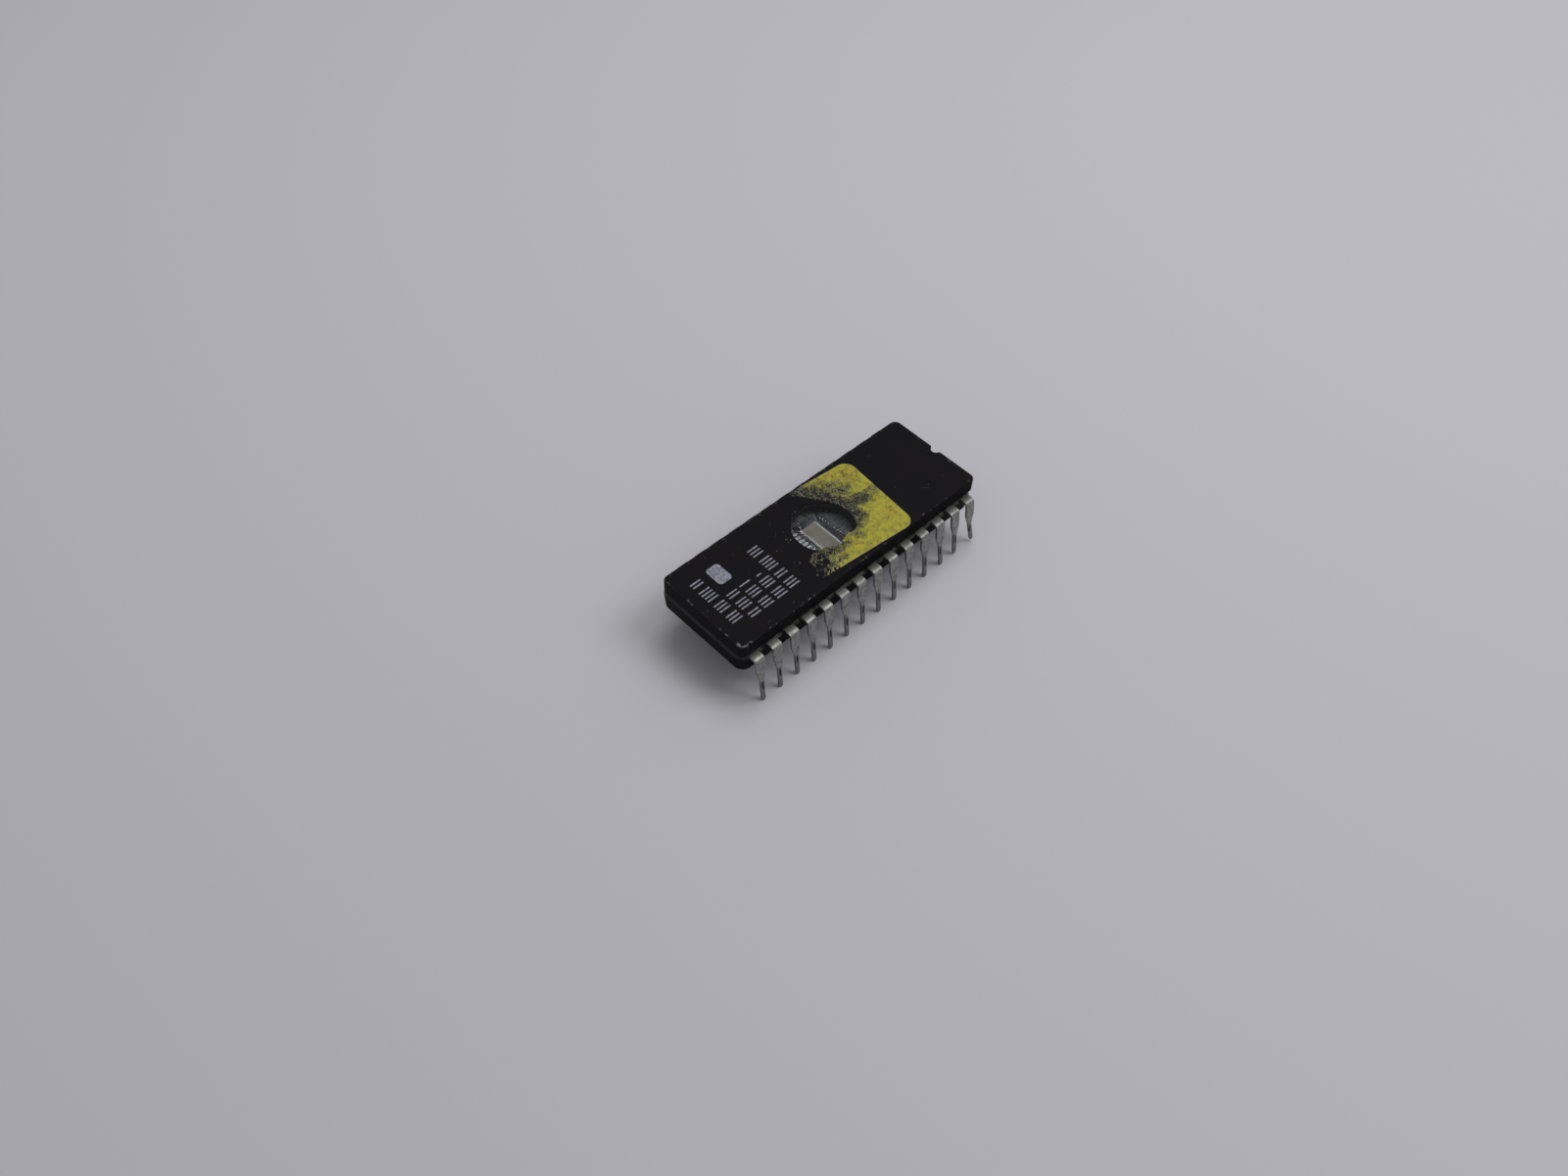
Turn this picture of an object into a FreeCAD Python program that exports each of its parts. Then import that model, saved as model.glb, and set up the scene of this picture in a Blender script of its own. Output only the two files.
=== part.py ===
import FreeCAD, Part

import math
import os

# A memory chip with an erase window: a dual-in-line package of two ceramic halves
# that glass frit joins round a lead frame. All lengths are in millimetres.
# +X runs along the body to the end with the index notch, +Y to the row of leads
# 1 to 14, and Z = 0 is the plane that the lead tips stand on.

# Lead frame, a stamped sheet with every lead bent down outside the body.
LEADS_PER_SIDE = 14
PITCH = 2.54
SHEET_THICKNESS = 0.25
SHOULDER_REACH = 1.025
BEND_INNER_RADIUS = 0.20
SPLAY_DEG = 8.0
SHOULDER_WIDTH = 1.27
LEG_WIDTH = 0.50
BLADE_BOTTOM_Z = 4.40
TAPER_HEIGHT = 1.35
TIP_CHAMFER_WIDTH = 0.12
TIP_CHAMFER_HEIGHT = 0.30

# Leads that handling has bent: how far the tip leans along X, and how far it is lifted.
TIP_LEAN = {26: 0.20, 28: 0.40}
TIP_LIFT = {27: 0.20, 28: 0.35}

# A lead that has snapped off before its bend, and how far its stub stands out of the base.
SNAPPED_LEAD = 14
STUB_REACH = 0.30

# Inner fingers, from the shoulder to the edge of the die cavity.
ROOT_INSET = 0.75
OUTER_LANE_INSET = 1.775
LANE_GAP = 0.30
LANE_CORNER = 0.80
SIDE_FINGERS = 5
FINGER_WIDTH = 0.34
FINGER_PITCH = 0.56
END_FINGER_FIRST = 0.72
END_FINGER_PITCH = 0.66
END_COLUMN_WIDTH = 0.62
END_TIP_SHARE = 0.30
END_ROOT_SHARE = 0.23
FINGER_SETBACK = 0.12

# Ceramic halves. Length, width and corner are those of the widest outline, near the
# seal. The base's sides lean in by its draft. The lid is upright, a little narrower, and
# sits a little off the base's middle.
LID_EXTRA_LENGTH = 0.04
LID_EXTRA_WIDTH = -0.49
BASE = {
    "length": 36.32, "width": 13.15, "corner": 1.35, "draft": 0.17,
    "bevel": 0.08, "seal_chamfer": 0.05, "middle": (-0.06, -0.07),
}
LID = {
    "length": BASE["length"] + LID_EXTRA_LENGTH, "width": BASE["width"] + LID_EXTRA_WIDTH,
    "corner": 0.80, "draft": 0, "bevel": 0.05, "seal_chamfer": 0.15, "middle": (0.07, -0.14),
}
STANDOFF = 4.17
BASE_THICKNESS = 1.88
SEAL_THICKNESS = 0.44
LID_THICKNESS = 1.76

# Half-round index notch in the +X end.
NOTCH_RADIUS = 0.58
NOTCH_LIP = 0.28
NOTCH_OFFSET_Y = -0.10

# Die cavity in the base, and the die on its layer of silver-filled glass.
CAVITY_LENGTH = 3.60
CAVITY_WIDTH = 6.10
CAVITY_DEPTH = 0.45
CAVITY_CORNER = 0.25
DIE_LENGTH = 2.40
DIE_WIDTH = 4.50
DIE_THICKNESS = 0.35
ATTACH_THICKNESS = 0.04
ATTACH_MARGIN = 0.14
ATTACH_BEVEL = 0.02

# Recess and window hole in the lid, and the lens fused into the hole.
RECESS_LENGTH = 8.60
RECESS_WIDTH = 8.60
RECESS_DEPTH = 0.35
RECESS_CORNER = 0.60
WINDOW_DIAMETER = 7.10
LENS_THICKNESS = 1.25

# Seal glass: how far it stays back from the base's outline, on the base and under the
# lid, and from the cavity's edge.
SEAL_INSET_LOW = 0.03
SEAL_INSET_HIGH = 0.22
SEAL_CAVITY_MARGIN = 0.06

# Bond wires, wedge bonded: a pad on the die, a loop, and a foot on the finger.
WIRE_DIAMETER = 0.032
WIRE_RISE = 0.22
WIRE_SIDES = 6
WIRE_SECTIONS = 3
FOOT_LENGTH = 0.10
FOOT_WIDTH = 0.055
FOOT_THICKNESS = 0.02
PAD_INSET = 0.13
PAD_PITCH = 0.30
FINGER_BOND_INSET = 0.22

# Paper label: the sticker as it was cut, turned a little and torn away over the window.
LABEL_THICKNESS = 0.09
LABEL_CORNER = 1.40
LABEL_TURN_DEG = -5.0
LABEL_RIGHT = 8.69
LABEL_TOP = 6.09
LABEL_BOTTOM = -5.67
TORN_EDGE = [
    (-5.10, -5.00), (-5.25, -4.30), (-4.55, -3.75), (-4.90, -2.95), (-3.60, -2.55),
    (-2.50, -2.45), (-1.30, -2.80), (-0.70, -3.25), (0.25, -2.85), (1.50, -2.90),
    (2.30, -2.55), (3.35, -1.85), (3.80, -0.95), (3.90, 0.15), (3.55, 1.15),
    (3.05, 2.45), (2.20, 3.50), (1.60, 4.25), (0.80, 4.95), (0.45, 5.50),
]
TEAR_CENTRE = (-3.30, -4.05)
TEAR_LENGTH = 1.00
TEAR_WIDTH = 0.42

# Levels and centres that follow from the sizes above.
BASE_TOP = STANDOFF + BASE_THICKNESS
SEAL_TOP = BASE_TOP + SEAL_THICKNESS
LID_TOP = SEAL_TOP + LID_THICKNESS
SHEET_MIDDLE = BASE_TOP + SEAL_THICKNESS / 2
SHEET_TOP = SHEET_MIDDLE + SHEET_THICKNESS / 2
SHEET_BOTTOM = SHEET_MIDDLE - SHEET_THICKNESS / 2
CAVITY_FLOOR = BASE_TOP - CAVITY_DEPTH
ATTACH_TOP = CAVITY_FLOOR + ATTACH_THICKNESS
DIE_TOP = ATTACH_TOP + DIE_THICKNESS
FRAME_CENTRE = (0.0, 0.0)
ROW_SPAN = BASE["width"] + 2 * SHOULDER_REACH
ROOT_Y = BASE["width"] / 2 - ROOT_INSET
COLUMNS = LEADS_PER_SIDE // 2
LANE_PITCH = (ROOT_Y - OUTER_LANE_INSET) / (SIDE_FINGERS - 0.5)
LANE_WIDTH = LANE_PITCH - LANE_GAP
PAST = 1.0


def vector(x, y, z):
    return FreeCAD.Vector(x, y, z)


def flat(z):
    """A drawing plane parallel to the floor at height z."""
    return lambda u, v: vector(u, v, z)


def rounded_wire(corners, place):
    """Closed wire through corners (u, v, radius), each rounded by an arc of its radius."""
    points = [vector(u, v, 0) for u, v, radius in corners]
    edges = []
    ends = []
    for index, (u, v, radius) in enumerate(corners):
        corner = points[index]
        back = (points[index - 1] - corner).normalize()
        ahead = (points[(index + 1) % len(points)] - corner).normalize()
        if radius == 0:
            ends.append((corner, None, corner))
            continue
        half_angle = back.getAngle(ahead) / 2
        reach = radius / math.tan(half_angle)
        middle = (back + ahead).normalize()
        centre = corner + middle * (radius / math.sin(half_angle))
        ends.append((corner + back * reach, centre - middle * radius, corner + ahead * reach))
    for index, (start, crown, finish) in enumerate(ends):
        if crown is not None:
            arc = [place(p.x, p.y) for p in (start, crown, finish)]
            edges.append(Part.Arc(*arc).toShape())
        following = ends[(index + 1) % len(ends)][0]
        if finish.distanceToPoint(following) > 1e-6:
            edges.append(Part.makeLine(place(finish.x, finish.y), place(following.x, following.y)))
    return Part.Wire(edges)


def plate(wire, direction):
    return Part.Face(wire).extrude(direction)


def rounded_box(length, width, corner, centre, low, high):
    """Upright block with rounded corners, between two heights."""
    corners = [
        (centre[0] + sx * length / 2, centre[1] + sy * width / 2, corner)
        for sx, sy in ((-1, -1), (1, -1), (1, 1), (-1, 1))
    ]
    return plate(rounded_wire(corners, flat(low)), vector(0, 0, high - low))


def body_outline(half, inset, z):
    """Outline of a ceramic half with its notch, drawn inwards by inset all round."""
    centre = half["middle"]
    east = half["length"] / 2 - inset
    north = half["width"] / 2 - inset
    corner = half["corner"] - inset
    notch = NOTCH_RADIUS + inset
    lip = NOTCH_LIP - inset
    notch_x = half["length"] / 2
    lip_x = east - lip
    lip_y = math.sqrt((notch + lip) ** 2 - (notch_x - lip_x) ** 2)
    to_lip = math.atan2(-lip_y, lip_x - notch_x)

    def at(x, y):
        return vector(centre[0] + x, centre[1] + y, z)

    def on_arc(x, y, radius, degrees):
        angle = math.radians(degrees)
        return at(x + radius * math.cos(angle), y + radius * math.sin(angle))

    def arc(x, y, radius, start, end):
        stops = (start, (start + end) / 2, end)
        return Part.Arc(*[on_arc(x, y, radius, stop) for stop in stops]).toShape()

    touch = math.degrees(to_lip) % 360
    edges = [
        Part.makeLine(at(-east + corner, -north), at(east - corner, -north)),
        arc(east - corner, -north + corner, corner, -90, 0),
        Part.makeLine(at(east, -north + corner), at(east, NOTCH_OFFSET_Y - lip_y)),
        arc(lip_x, NOTCH_OFFSET_Y - lip_y, lip, 0, touch - 180),
        arc(notch_x, NOTCH_OFFSET_Y, notch, touch, 360 - touch),
        arc(lip_x, NOTCH_OFFSET_Y + lip_y, lip, 180 - touch, 0),
        Part.makeLine(at(east, NOTCH_OFFSET_Y + lip_y), at(east, north - corner)),
        arc(east - corner, north - corner, corner, 0, 90),
        Part.makeLine(at(east - corner, north), at(-east + corner, north)),
        arc(-east + corner, north - corner, corner, 90, 180),
        Part.makeLine(at(-east, north - corner), at(-east, -north + corner)),
        arc(-east + corner, -north + corner, corner, 180, 270),
    ]
    return Part.Wire(edges)


def edges_at(shape, z):
    return [
        edge for edge in shape.Edges
        if abs(edge.BoundBox.ZMin - z) < 1e-4 and abs(edge.BoundBox.ZMax - z) < 1e-4
    ]


def pressed_half(half, seal_z, outer_z):
    """A pressed ceramic slab: drafted sides, and a small bevel round both faces."""
    if half["draft"] == 0:
        slab = plate(body_outline(half, 0, seal_z), vector(0, 0, outer_z - seal_z))
    else:
        sections = [body_outline(half, 0, seal_z), body_outline(half, half["draft"], outer_z)]
        slab = Part.makeLoft(sections, True, True)
    slab = slab.makeChamfer(half["bevel"], edges_at(slab, outer_z))
    return slab.makeChamfer(half["seal_chamfer"], edges_at(slab, seal_z))


def ceramic_base():
    slab = pressed_half(BASE, BASE_TOP, STANDOFF)
    cavity = rounded_box(
        CAVITY_LENGTH, CAVITY_WIDTH, CAVITY_CORNER, FRAME_CENTRE, CAVITY_FLOOR, BASE_TOP + PAST
    )
    return slab.cut(cavity)


def window_cylinder(low, high):
    return Part.makeCylinder(WINDOW_DIAMETER / 2, high - low, vector(*FRAME_CENTRE, low))


def ceramic_lid():
    slab = pressed_half(LID, SEAL_TOP, LID_TOP)
    recess = rounded_box(
        RECESS_LENGTH, RECESS_WIDTH, RECESS_CORNER, FRAME_CENTRE,
        SEAL_TOP - PAST, SEAL_TOP + RECESS_DEPTH,
    )
    return slab.cut(recess).cut(window_cylinder(SEAL_TOP, LID_TOP + PAST))


def window_lens():
    return window_cylinder(LID_TOP - LENS_THICKNESS, LID_TOP)


def ribbon(stations):
    """Corners of a flat strip along stations (x, y, width), mitred at each bend."""
    left = []
    right = []
    for index, (x, y, width) in enumerate(stations):
        here = vector(x, y, 0)
        before = vector(*stations[max(index - 1, 0)][:2], 0)
        after = vector(*stations[min(index + 1, len(stations) - 1)][:2], 0)
        into = (here - before) if index > 0 else (after - here)
        out = (after - here) if index < len(stations) - 1 else into
        into.normalize()
        out.normalize()
        across = vector(-into.y - out.y, into.x + out.x, 0).normalize()
        side = across * (width / 2 / max(across.dot(vector(-into.y, into.x, 0)), 0.5))
        left.append(here + side)
        right.insert(0, here - side)
    return [(point.x, point.y, 0) for point in left + right]


def column_x(column):
    """Distance of a lead column from the middle of its row; column 0 is the outermost."""
    return PITCH * (COLUMNS - column - 0.5)


def finger_tip(column):
    """Tip of a finger in the quarter where x and y are positive."""
    end_x = CAVITY_LENGTH / 2 + FINGER_SETBACK
    end_y = CAVITY_WIDTH / 2 + FINGER_SETBACK
    if column < SIDE_FINGERS:
        return end_x, FINGER_PITCH * (column + 0.5)
    return END_FINGER_FIRST + END_FINGER_PITCH * (COLUMNS - 1 - column), end_y


def finger_stations(column):
    """Route of one inner finger from its shoulder to the cavity."""
    x = column_x(column)
    tip_x, tip_y = finger_tip(column)
    start = [(x, ROOT_Y, SHOULDER_WIDTH)]
    if column >= SIDE_FINGERS:
        room = ROOT_Y - tip_y
        return start + [
            (x, ROOT_Y - room * END_ROOT_SHARE, END_COLUMN_WIDTH),
            (tip_x, tip_y + room * END_TIP_SHARE, FINGER_WIDTH),
            (tip_x, tip_y, FINGER_WIDTH),
        ]
    lane_y = LANE_PITCH * (column + 0.5)
    return start + [
        (x, lane_y + LANE_CORNER, LANE_WIDTH),
        (x - LANE_CORNER, lane_y, LANE_WIDTH),
        (tip_x, tip_y, FINGER_WIDTH),
    ]


def finger(column, toward_x, toward_y):
    stations = [
        (toward_x * x, toward_y * y, width) for x, y, width in finger_stations(column)
    ]
    outline = rounded_wire(ribbon(stations), flat(SHEET_BOTTOM))
    return plate(outline, vector(0, 0, SHEET_THICKNESS))


def bent_strip(x, toward_y):
    """The sheet outside the root: level shoulder, bend and splayed leg, at full width."""
    splay = math.radians(SPLAY_DEG)
    outer = BEND_INNER_RADIUS + SHEET_THICKNESS
    centre_y = ROW_SPAN / 2 - outer * math.cos(splay)
    centre_z = SHEET_BOTTOM - BEND_INNER_RADIUS
    leg = (centre_z + PAST) / math.cos(splay)

    def at(y, z):
        return vector(x - SHOULDER_WIDTH / 2, toward_y * y, z)

    def on_bend(radius, angle):
        return at(centre_y + radius * math.cos(angle), centre_z + radius * math.sin(angle))

    def on_leg(radius):
        y = centre_y + radius * math.cos(splay) + leg * math.sin(splay)
        z = centre_z + radius * math.sin(splay) - leg * math.cos(splay)
        return at(y, z)

    halfway = (math.pi / 2 + splay) / 2
    edges = [
        Part.makeLine(at(ROOT_Y, SHEET_TOP), at(centre_y, SHEET_TOP)),
        Part.Arc(*[on_bend(outer, a) for a in (math.pi / 2, halfway, splay)]).toShape(),
        Part.makeLine(on_bend(outer, splay), on_leg(outer)),
        Part.makeLine(on_leg(outer), on_leg(BEND_INNER_RADIUS)),
        Part.makeLine(on_leg(BEND_INNER_RADIUS), on_bend(BEND_INNER_RADIUS, splay)),
        Part.Arc(
            *[on_bend(BEND_INNER_RADIUS, a) for a in (splay, halfway, math.pi / 2)]
        ).toShape(),
        Part.makeLine(at(centre_y, SHEET_BOTTOM), at(ROOT_Y, SHEET_BOTTOM)),
        Part.makeLine(at(ROOT_Y, SHEET_BOTTOM), at(ROOT_Y, SHEET_TOP)),
    ]
    return plate(Part.Wire(edges), vector(SHOULDER_WIDTH, 0, 0))


def stamped_front(x, lean, lift):
    """The lead's outline seen from the side of the chip, wide blade and narrow leg."""
    blade = SHOULDER_WIDTH / 2
    leg = LEG_WIDTH / 2
    tip = leg - TIP_CHAMFER_WIDTH
    taper_end = BLADE_BOTTOM_Z - TAPER_HEIGHT
    chamfer_z = lift + TIP_CHAMFER_HEIGHT
    corners = [
        (x - blade, SHEET_TOP + PAST, 0),
        (x - blade, BLADE_BOTTOM_Z, 0),
        (x - leg, taper_end, 0),
        (x - leg + lean, chamfer_z, 0),
        (x - tip + lean, lift, 0),
        (x + tip + lean, lift, 0),
        (x + leg + lean, chamfer_z, 0),
        (x + leg, taper_end, 0),
        (x + blade, BLADE_BOTTOM_Z, 0),
        (x + blade, SHEET_TOP + PAST, 0),
    ]
    wire = rounded_wire(corners, lambda u, v: vector(u, -ROW_SPAN, v))
    return plate(wire, vector(0, 2 * ROW_SPAN, 0))


def lead_place(number):
    """Column and quarter of a lead, counted from the notch end down the +Y side."""
    toward_y = 1 if number <= LEADS_PER_SIDE else -1
    step = number - 1 if toward_y > 0 else 2 * LEADS_PER_SIDE - number
    toward_x = 1 if step < COLUMNS else -1
    column = step if toward_x > 0 else LEADS_PER_SIDE - 1 - step
    return column, toward_x, toward_y


def lead(number):
    column, toward_x, toward_y = lead_place(number)
    x = toward_x * column_x(column)
    front = stamped_front(x, TIP_LEAN.get(number, 0), TIP_LIFT.get(number, 0))
    outside = bent_strip(x, toward_y).common(front)
    whole = outside.fuse(finger(column, toward_x, toward_y)).removeSplitter()
    if number != SNAPPED_LEAD:
        return whole
    stub_end = BASE["width"] / 2 + STUB_REACH
    row = 2 * COLUMNS * PITCH
    return whole.common(Part.makeBox(row, stub_end, LID_TOP, vector(-row / 2, 0, 0)))


def seal_glass(leads):
    """Frit over the whole base and up to the lid, with the lead frame set in it."""
    low = body_outline(BASE, SEAL_INSET_LOW, BASE_TOP)
    high = body_outline(BASE, SEAL_INSET_HIGH, SEAL_TOP)
    pool = Part.makeLoft([low, high], True, True)
    drained = rounded_box(
        RECESS_LENGTH, RECESS_WIDTH, RECESS_CORNER, FRAME_CENTRE, SHEET_MIDDLE, SEAL_TOP + PAST
    )
    opening = rounded_box(
        CAVITY_LENGTH + 2 * SEAL_CAVITY_MARGIN, CAVITY_WIDTH + 2 * SEAL_CAVITY_MARGIN,
        CAVITY_CORNER, FRAME_CENTRE, BASE_TOP - PAST, SEAL_TOP + PAST,
    )
    return pool.cut([drained, opening] + leads)


def die_attach():
    layer = rounded_box(
        DIE_LENGTH + 2 * ATTACH_MARGIN, DIE_WIDTH + 2 * ATTACH_MARGIN, 0,
        FRAME_CENTRE, CAVITY_FLOOR, ATTACH_TOP,
    )
    return layer.makeChamfer(ATTACH_BEVEL, edges_at(layer, ATTACH_TOP))


def die():
    corner = vector(FRAME_CENTRE[0] - DIE_LENGTH / 2, FRAME_CENTRE[1] - DIE_WIDTH / 2, ATTACH_TOP)
    return Part.makeBox(DIE_LENGTH, DIE_WIDTH, DIE_THICKNESS, corner)


def wire_section(centre, ahead, width, height):
    """Six-sided section of a wire at centre, square to the way ahead."""
    across = vector(-ahead.y, ahead.x, 0).normalize()
    upward = ahead.cross(across)
    if upward.z < 0:
        upward = -upward
    corners = []
    for side in range(WIRE_SIDES + 1):
        turn = 2 * math.pi * side / WIRE_SIDES
        out = across * (width / 2 * math.cos(turn))
        up = upward * (height / 2 * math.sin(turn) / math.sin(math.pi / 3))
        corners.append(centre + out + up)
    return Part.makePolygon(corners)


def bond_wire(number):
    """One wire from the die to a finger: a flattened foot, the loop, and the other foot."""
    column, toward_x, toward_y = lead_place(number)
    pad = vector(
        toward_x * (DIE_LENGTH / 2 - PAD_INSET), toward_y * PAD_PITCH * (column + 0.5), DIE_TOP
    )
    tip_x, tip_y = finger_tip(column)
    bond_x = tip_x + (FINGER_BOND_INSET if column < SIDE_FINGERS else 0)
    bond_y = tip_y + (0 if column < SIDE_FINGERS else FINGER_BOND_INSET)
    bond = vector(toward_x * bond_x, toward_y * bond_y, SHEET_TOP)
    along = vector(bond.x - pad.x, bond.y - pad.y, 0).normalize()
    reach = along * (FOOT_LENGTH / 2)
    lift = vector(0, 0, FOOT_THICKNESS / 2)
    stops = [pad - reach + lift, pad + reach + lift, bond - reach + lift, bond + reach + lift]
    feet = [wire_section(stop, along, FOOT_WIDTH, FOOT_THICKNESS) for stop in stops]
    crown = (stops[1] + stops[2]) * 0.5
    crown.z = stops[2].z + WIRE_RISE
    arch = Part.Arc(stops[1], crown, stops[2])
    loop = []
    for index in range(WIRE_SECTIONS):
        share = (index + 1) / (WIRE_SECTIONS + 1)
        place = arch.FirstParameter * (1 - share) + arch.LastParameter * share
        ahead = arch.tangent(place)[0]
        loop.append(wire_section(arch.value(place), ahead, WIRE_DIAMETER, WIRE_DIAMETER))
    return Part.makeLoft(feet[:2] + loop + feet[2:], True, True)


def bond_wires():
    return Part.makeCompound([bond_wire(number) for number in range(1, 2 * LEADS_PER_SIDE + 1)])


def paper_label():
    """What is left of the sticker: two cut corners, and a torn edge round the window."""
    turn = math.radians(LABEL_TURN_DEG)

    def turned(u, v):
        return (u * math.cos(turn) - v * math.sin(turn), u * math.sin(turn) + v * math.cos(turn))

    corners = [(*turned(LABEL_RIGHT, LABEL_BOTTOM), LABEL_CORNER)]
    corners.append((*turned(LABEL_RIGHT, LABEL_TOP), LABEL_CORNER))
    corners.extend((x, y, 0) for x, y in reversed(TORN_EDGE))
    sticker = plate(rounded_wire(corners, flat(LID_TOP)), vector(0, 0, LABEL_THICKNESS))
    tear = rounded_box(
        TEAR_LENGTH, TEAR_WIDTH, TEAR_WIDTH / 2.2, TEAR_CENTRE, LID_TOP - PAST, LID_TOP + PAST
    )
    return sticker.cut(tear)


def main():
    os.makedirs("parts", exist_ok=True)
    numbers = range(1, 2 * LEADS_PER_SIDE + 1)
    leads = {number: lead(number) for number in numbers}
    pieces = {f"lead_{number:02d}": shape for number, shape in leads.items()}
    pieces["ceramic_base"] = ceramic_base()
    pieces["ceramic_lid"] = ceramic_lid()
    pieces["seal_glass"] = seal_glass(list(leads.values()))
    pieces["window_lens"] = window_lens()
    pieces["die_attach"] = die_attach()
    pieces["die"] = die()
    pieces["bond_wires"] = bond_wires()
    pieces["paper_label"] = paper_label()
    for name, shape in pieces.items():
        print(name, "solids", len(shape.Solids), "valid", shape.isValid(), "mm3", round(shape.Volume, 4))
        shape.exportStep(f"parts/{name}.step")


main()
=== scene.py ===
# %% [markdown]
# # A memory chip with an erase window
# The construction model holds every hard piece of the chip at its real size. This lesson
# gives those pieces their finish, and adds what is too fine or too ragged for solids: the
# torn label, the ink marks, the wire loops and the beads of glass.

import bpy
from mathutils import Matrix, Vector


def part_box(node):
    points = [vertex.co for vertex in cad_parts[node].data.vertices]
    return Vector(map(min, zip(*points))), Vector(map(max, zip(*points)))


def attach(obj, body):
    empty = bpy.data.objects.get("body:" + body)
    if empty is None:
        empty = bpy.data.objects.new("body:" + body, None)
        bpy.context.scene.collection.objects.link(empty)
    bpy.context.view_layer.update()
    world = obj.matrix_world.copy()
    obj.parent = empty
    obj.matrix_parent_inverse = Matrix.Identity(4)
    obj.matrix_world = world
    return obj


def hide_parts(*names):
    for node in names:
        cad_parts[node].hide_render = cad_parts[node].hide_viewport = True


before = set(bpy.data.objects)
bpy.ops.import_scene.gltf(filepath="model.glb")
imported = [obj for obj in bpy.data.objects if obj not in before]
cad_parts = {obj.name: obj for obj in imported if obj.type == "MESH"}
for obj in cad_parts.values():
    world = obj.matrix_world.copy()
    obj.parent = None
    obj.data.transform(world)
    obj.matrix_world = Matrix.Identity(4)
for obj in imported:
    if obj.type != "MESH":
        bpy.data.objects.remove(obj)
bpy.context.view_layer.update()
print("pieces in the frame:", len(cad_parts))

# %% [markdown]
# Chip drawings are read in millimetres and Blender counts in metres, so one value joins
# them. Heights come from the frame's own pieces, which keeps each new piece on its seat.

# %% Units and levels
import math

import bpy
import numpy as np
from mathutils import Matrix, Vector

MM = 0.001


def level(node, side):
    """Lowest (0) or highest (1) point of a frame piece, in millimetres."""
    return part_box(node)[side].z / MM


LID_TOP = level("ceramic_lid", 1)
BASE_TOP = level("ceramic_base", 1)
LABEL_TOP = level("paper_label", 1)
DIE_TOP = level("die", 1)
SHEET_TOP = level("lead_01", 1)
LID_LOW, LID_HIGH = [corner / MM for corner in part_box("ceramic_lid")]
LENS_LOW = level("window_lens", 0)
LENS_RADIUS = (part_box("window_lens")[1].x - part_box("window_lens")[0].x) / MM / 2
print("lid top", round(LID_TOP, 3), "die top", round(DIE_TOP, 3), "lens radius", round(LENS_RADIUS, 3))

# %% [markdown]
# The camera stands where the photograph was taken: above the near corner of the plain end,
# with the notch furthest away. It could be set by a place and a matrix, but angles and a
# distance can be read like a stand's settings. They were fitted to the bends and tips of
# the leads, which are a known pitch apart.

# %% Camera
SENSOR_WIDTH = 36.0
FOCAL_LENGTH = 32.64
CAMERA_TURN = math.radians(-46.81)
CAMERA_HEIGHT = math.radians(50.89)
CAMERA_ROLL = math.radians(3.68)
CAMERA_DISTANCE = 161.2
LOOK_AT = Vector((-4.318, 1.186, 0.0))


def from_angles(turn, height):
    """The direction from the object towards something that stands at these angles."""
    flat = math.cos(height)
    return Vector((math.sin(turn) * flat, -math.cos(turn) * flat, math.sin(height)))


def stand_camera():
    """A camera at its angles and distance from LOOK_AT, rolled about its own axis."""
    back = from_angles(CAMERA_TURN, CAMERA_HEIGHT)
    level_right = Vector((math.cos(CAMERA_TURN), math.sin(CAMERA_TURN), 0))
    level_up = back.cross(level_right)
    right = level_right * math.cos(CAMERA_ROLL) + level_up * math.sin(CAMERA_ROLL)
    up = back.cross(right)
    lens = bpy.data.cameras.new("camera")
    lens.sensor_width = SENSOR_WIDTH
    lens.lens = FOCAL_LENGTH
    lens.clip_start = 0.005
    camera = bpy.data.objects.new("camera", lens)
    bpy.context.scene.collection.objects.link(camera)
    turn = Matrix((right, up, back)).transposed().to_4x4()
    camera.matrix_world = Matrix.Translation((LOOK_AT + back * CAMERA_DISTANCE) * MM) @ turn
    bpy.context.scene.camera = camera
    return camera


print("camera at", [round(value, 4) for value in stand_camera().matrix_world.translation])

# %% [markdown]
# The room is a pale one with soft light from all round, so the world gives about two fifths
# of it. A broad lamp to the right makes the glint along the bent leads and the soft shadow
# to the left. A second one, high beyond the notch, lights the near side of the window and
# leaves its far side dark. A lamp's power could be found by trial. Here it is worked out
# from the share of a plain light level that it should add, and all shares make about one.

# %% Light
WORLD_SHARE = 0.41
WORLD_COLOUR = (0.98, 0.985, 1.0)
LAMPS = {
    "window_light": dict(turn=46, height=56, distance=0.45, wide=0.23, high=0.23, share=0.34),
    "ceiling_light": dict(turn=128, height=70, distance=0.5, wide=0.24, high=0.24, share=0.3),
}


def hang_lamp(name, turn, height, distance, wide, high, share):
    """A square of light at these angles, strong enough to add its share on the floor."""
    direction = from_angles(math.radians(turn), math.radians(height))
    lamp = bpy.data.lights.new(name, "AREA")
    lamp.shape = "RECTANGLE"
    lamp.size = wide
    lamp.size_y = high
    lamp.energy = share * math.pi ** 2 * distance ** 2 / math.sin(math.radians(height))
    holder = bpy.data.objects.new(name, lamp)
    bpy.context.scene.collection.objects.link(holder)
    holder.location = direction * distance
    holder.rotation_euler = direction.to_track_quat("Z", "Y").to_euler()
    return lamp.energy


world = bpy.data.worlds.new("room")
bpy.context.scene.world = world
world.use_nodes = True
world.node_tree.nodes["Background"].inputs["Color"].default_value = (*WORLD_COLOUR, 1)
world.node_tree.nodes["Background"].inputs["Strength"].default_value = WORLD_SHARE
bpy.context.scene.view_settings.view_transform = "Standard"
for lamp_name, lamp_settings in LAMPS.items():
    print(lamp_name, "watts", round(hang_lamp(lamp_name, **lamp_settings), 3))

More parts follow.
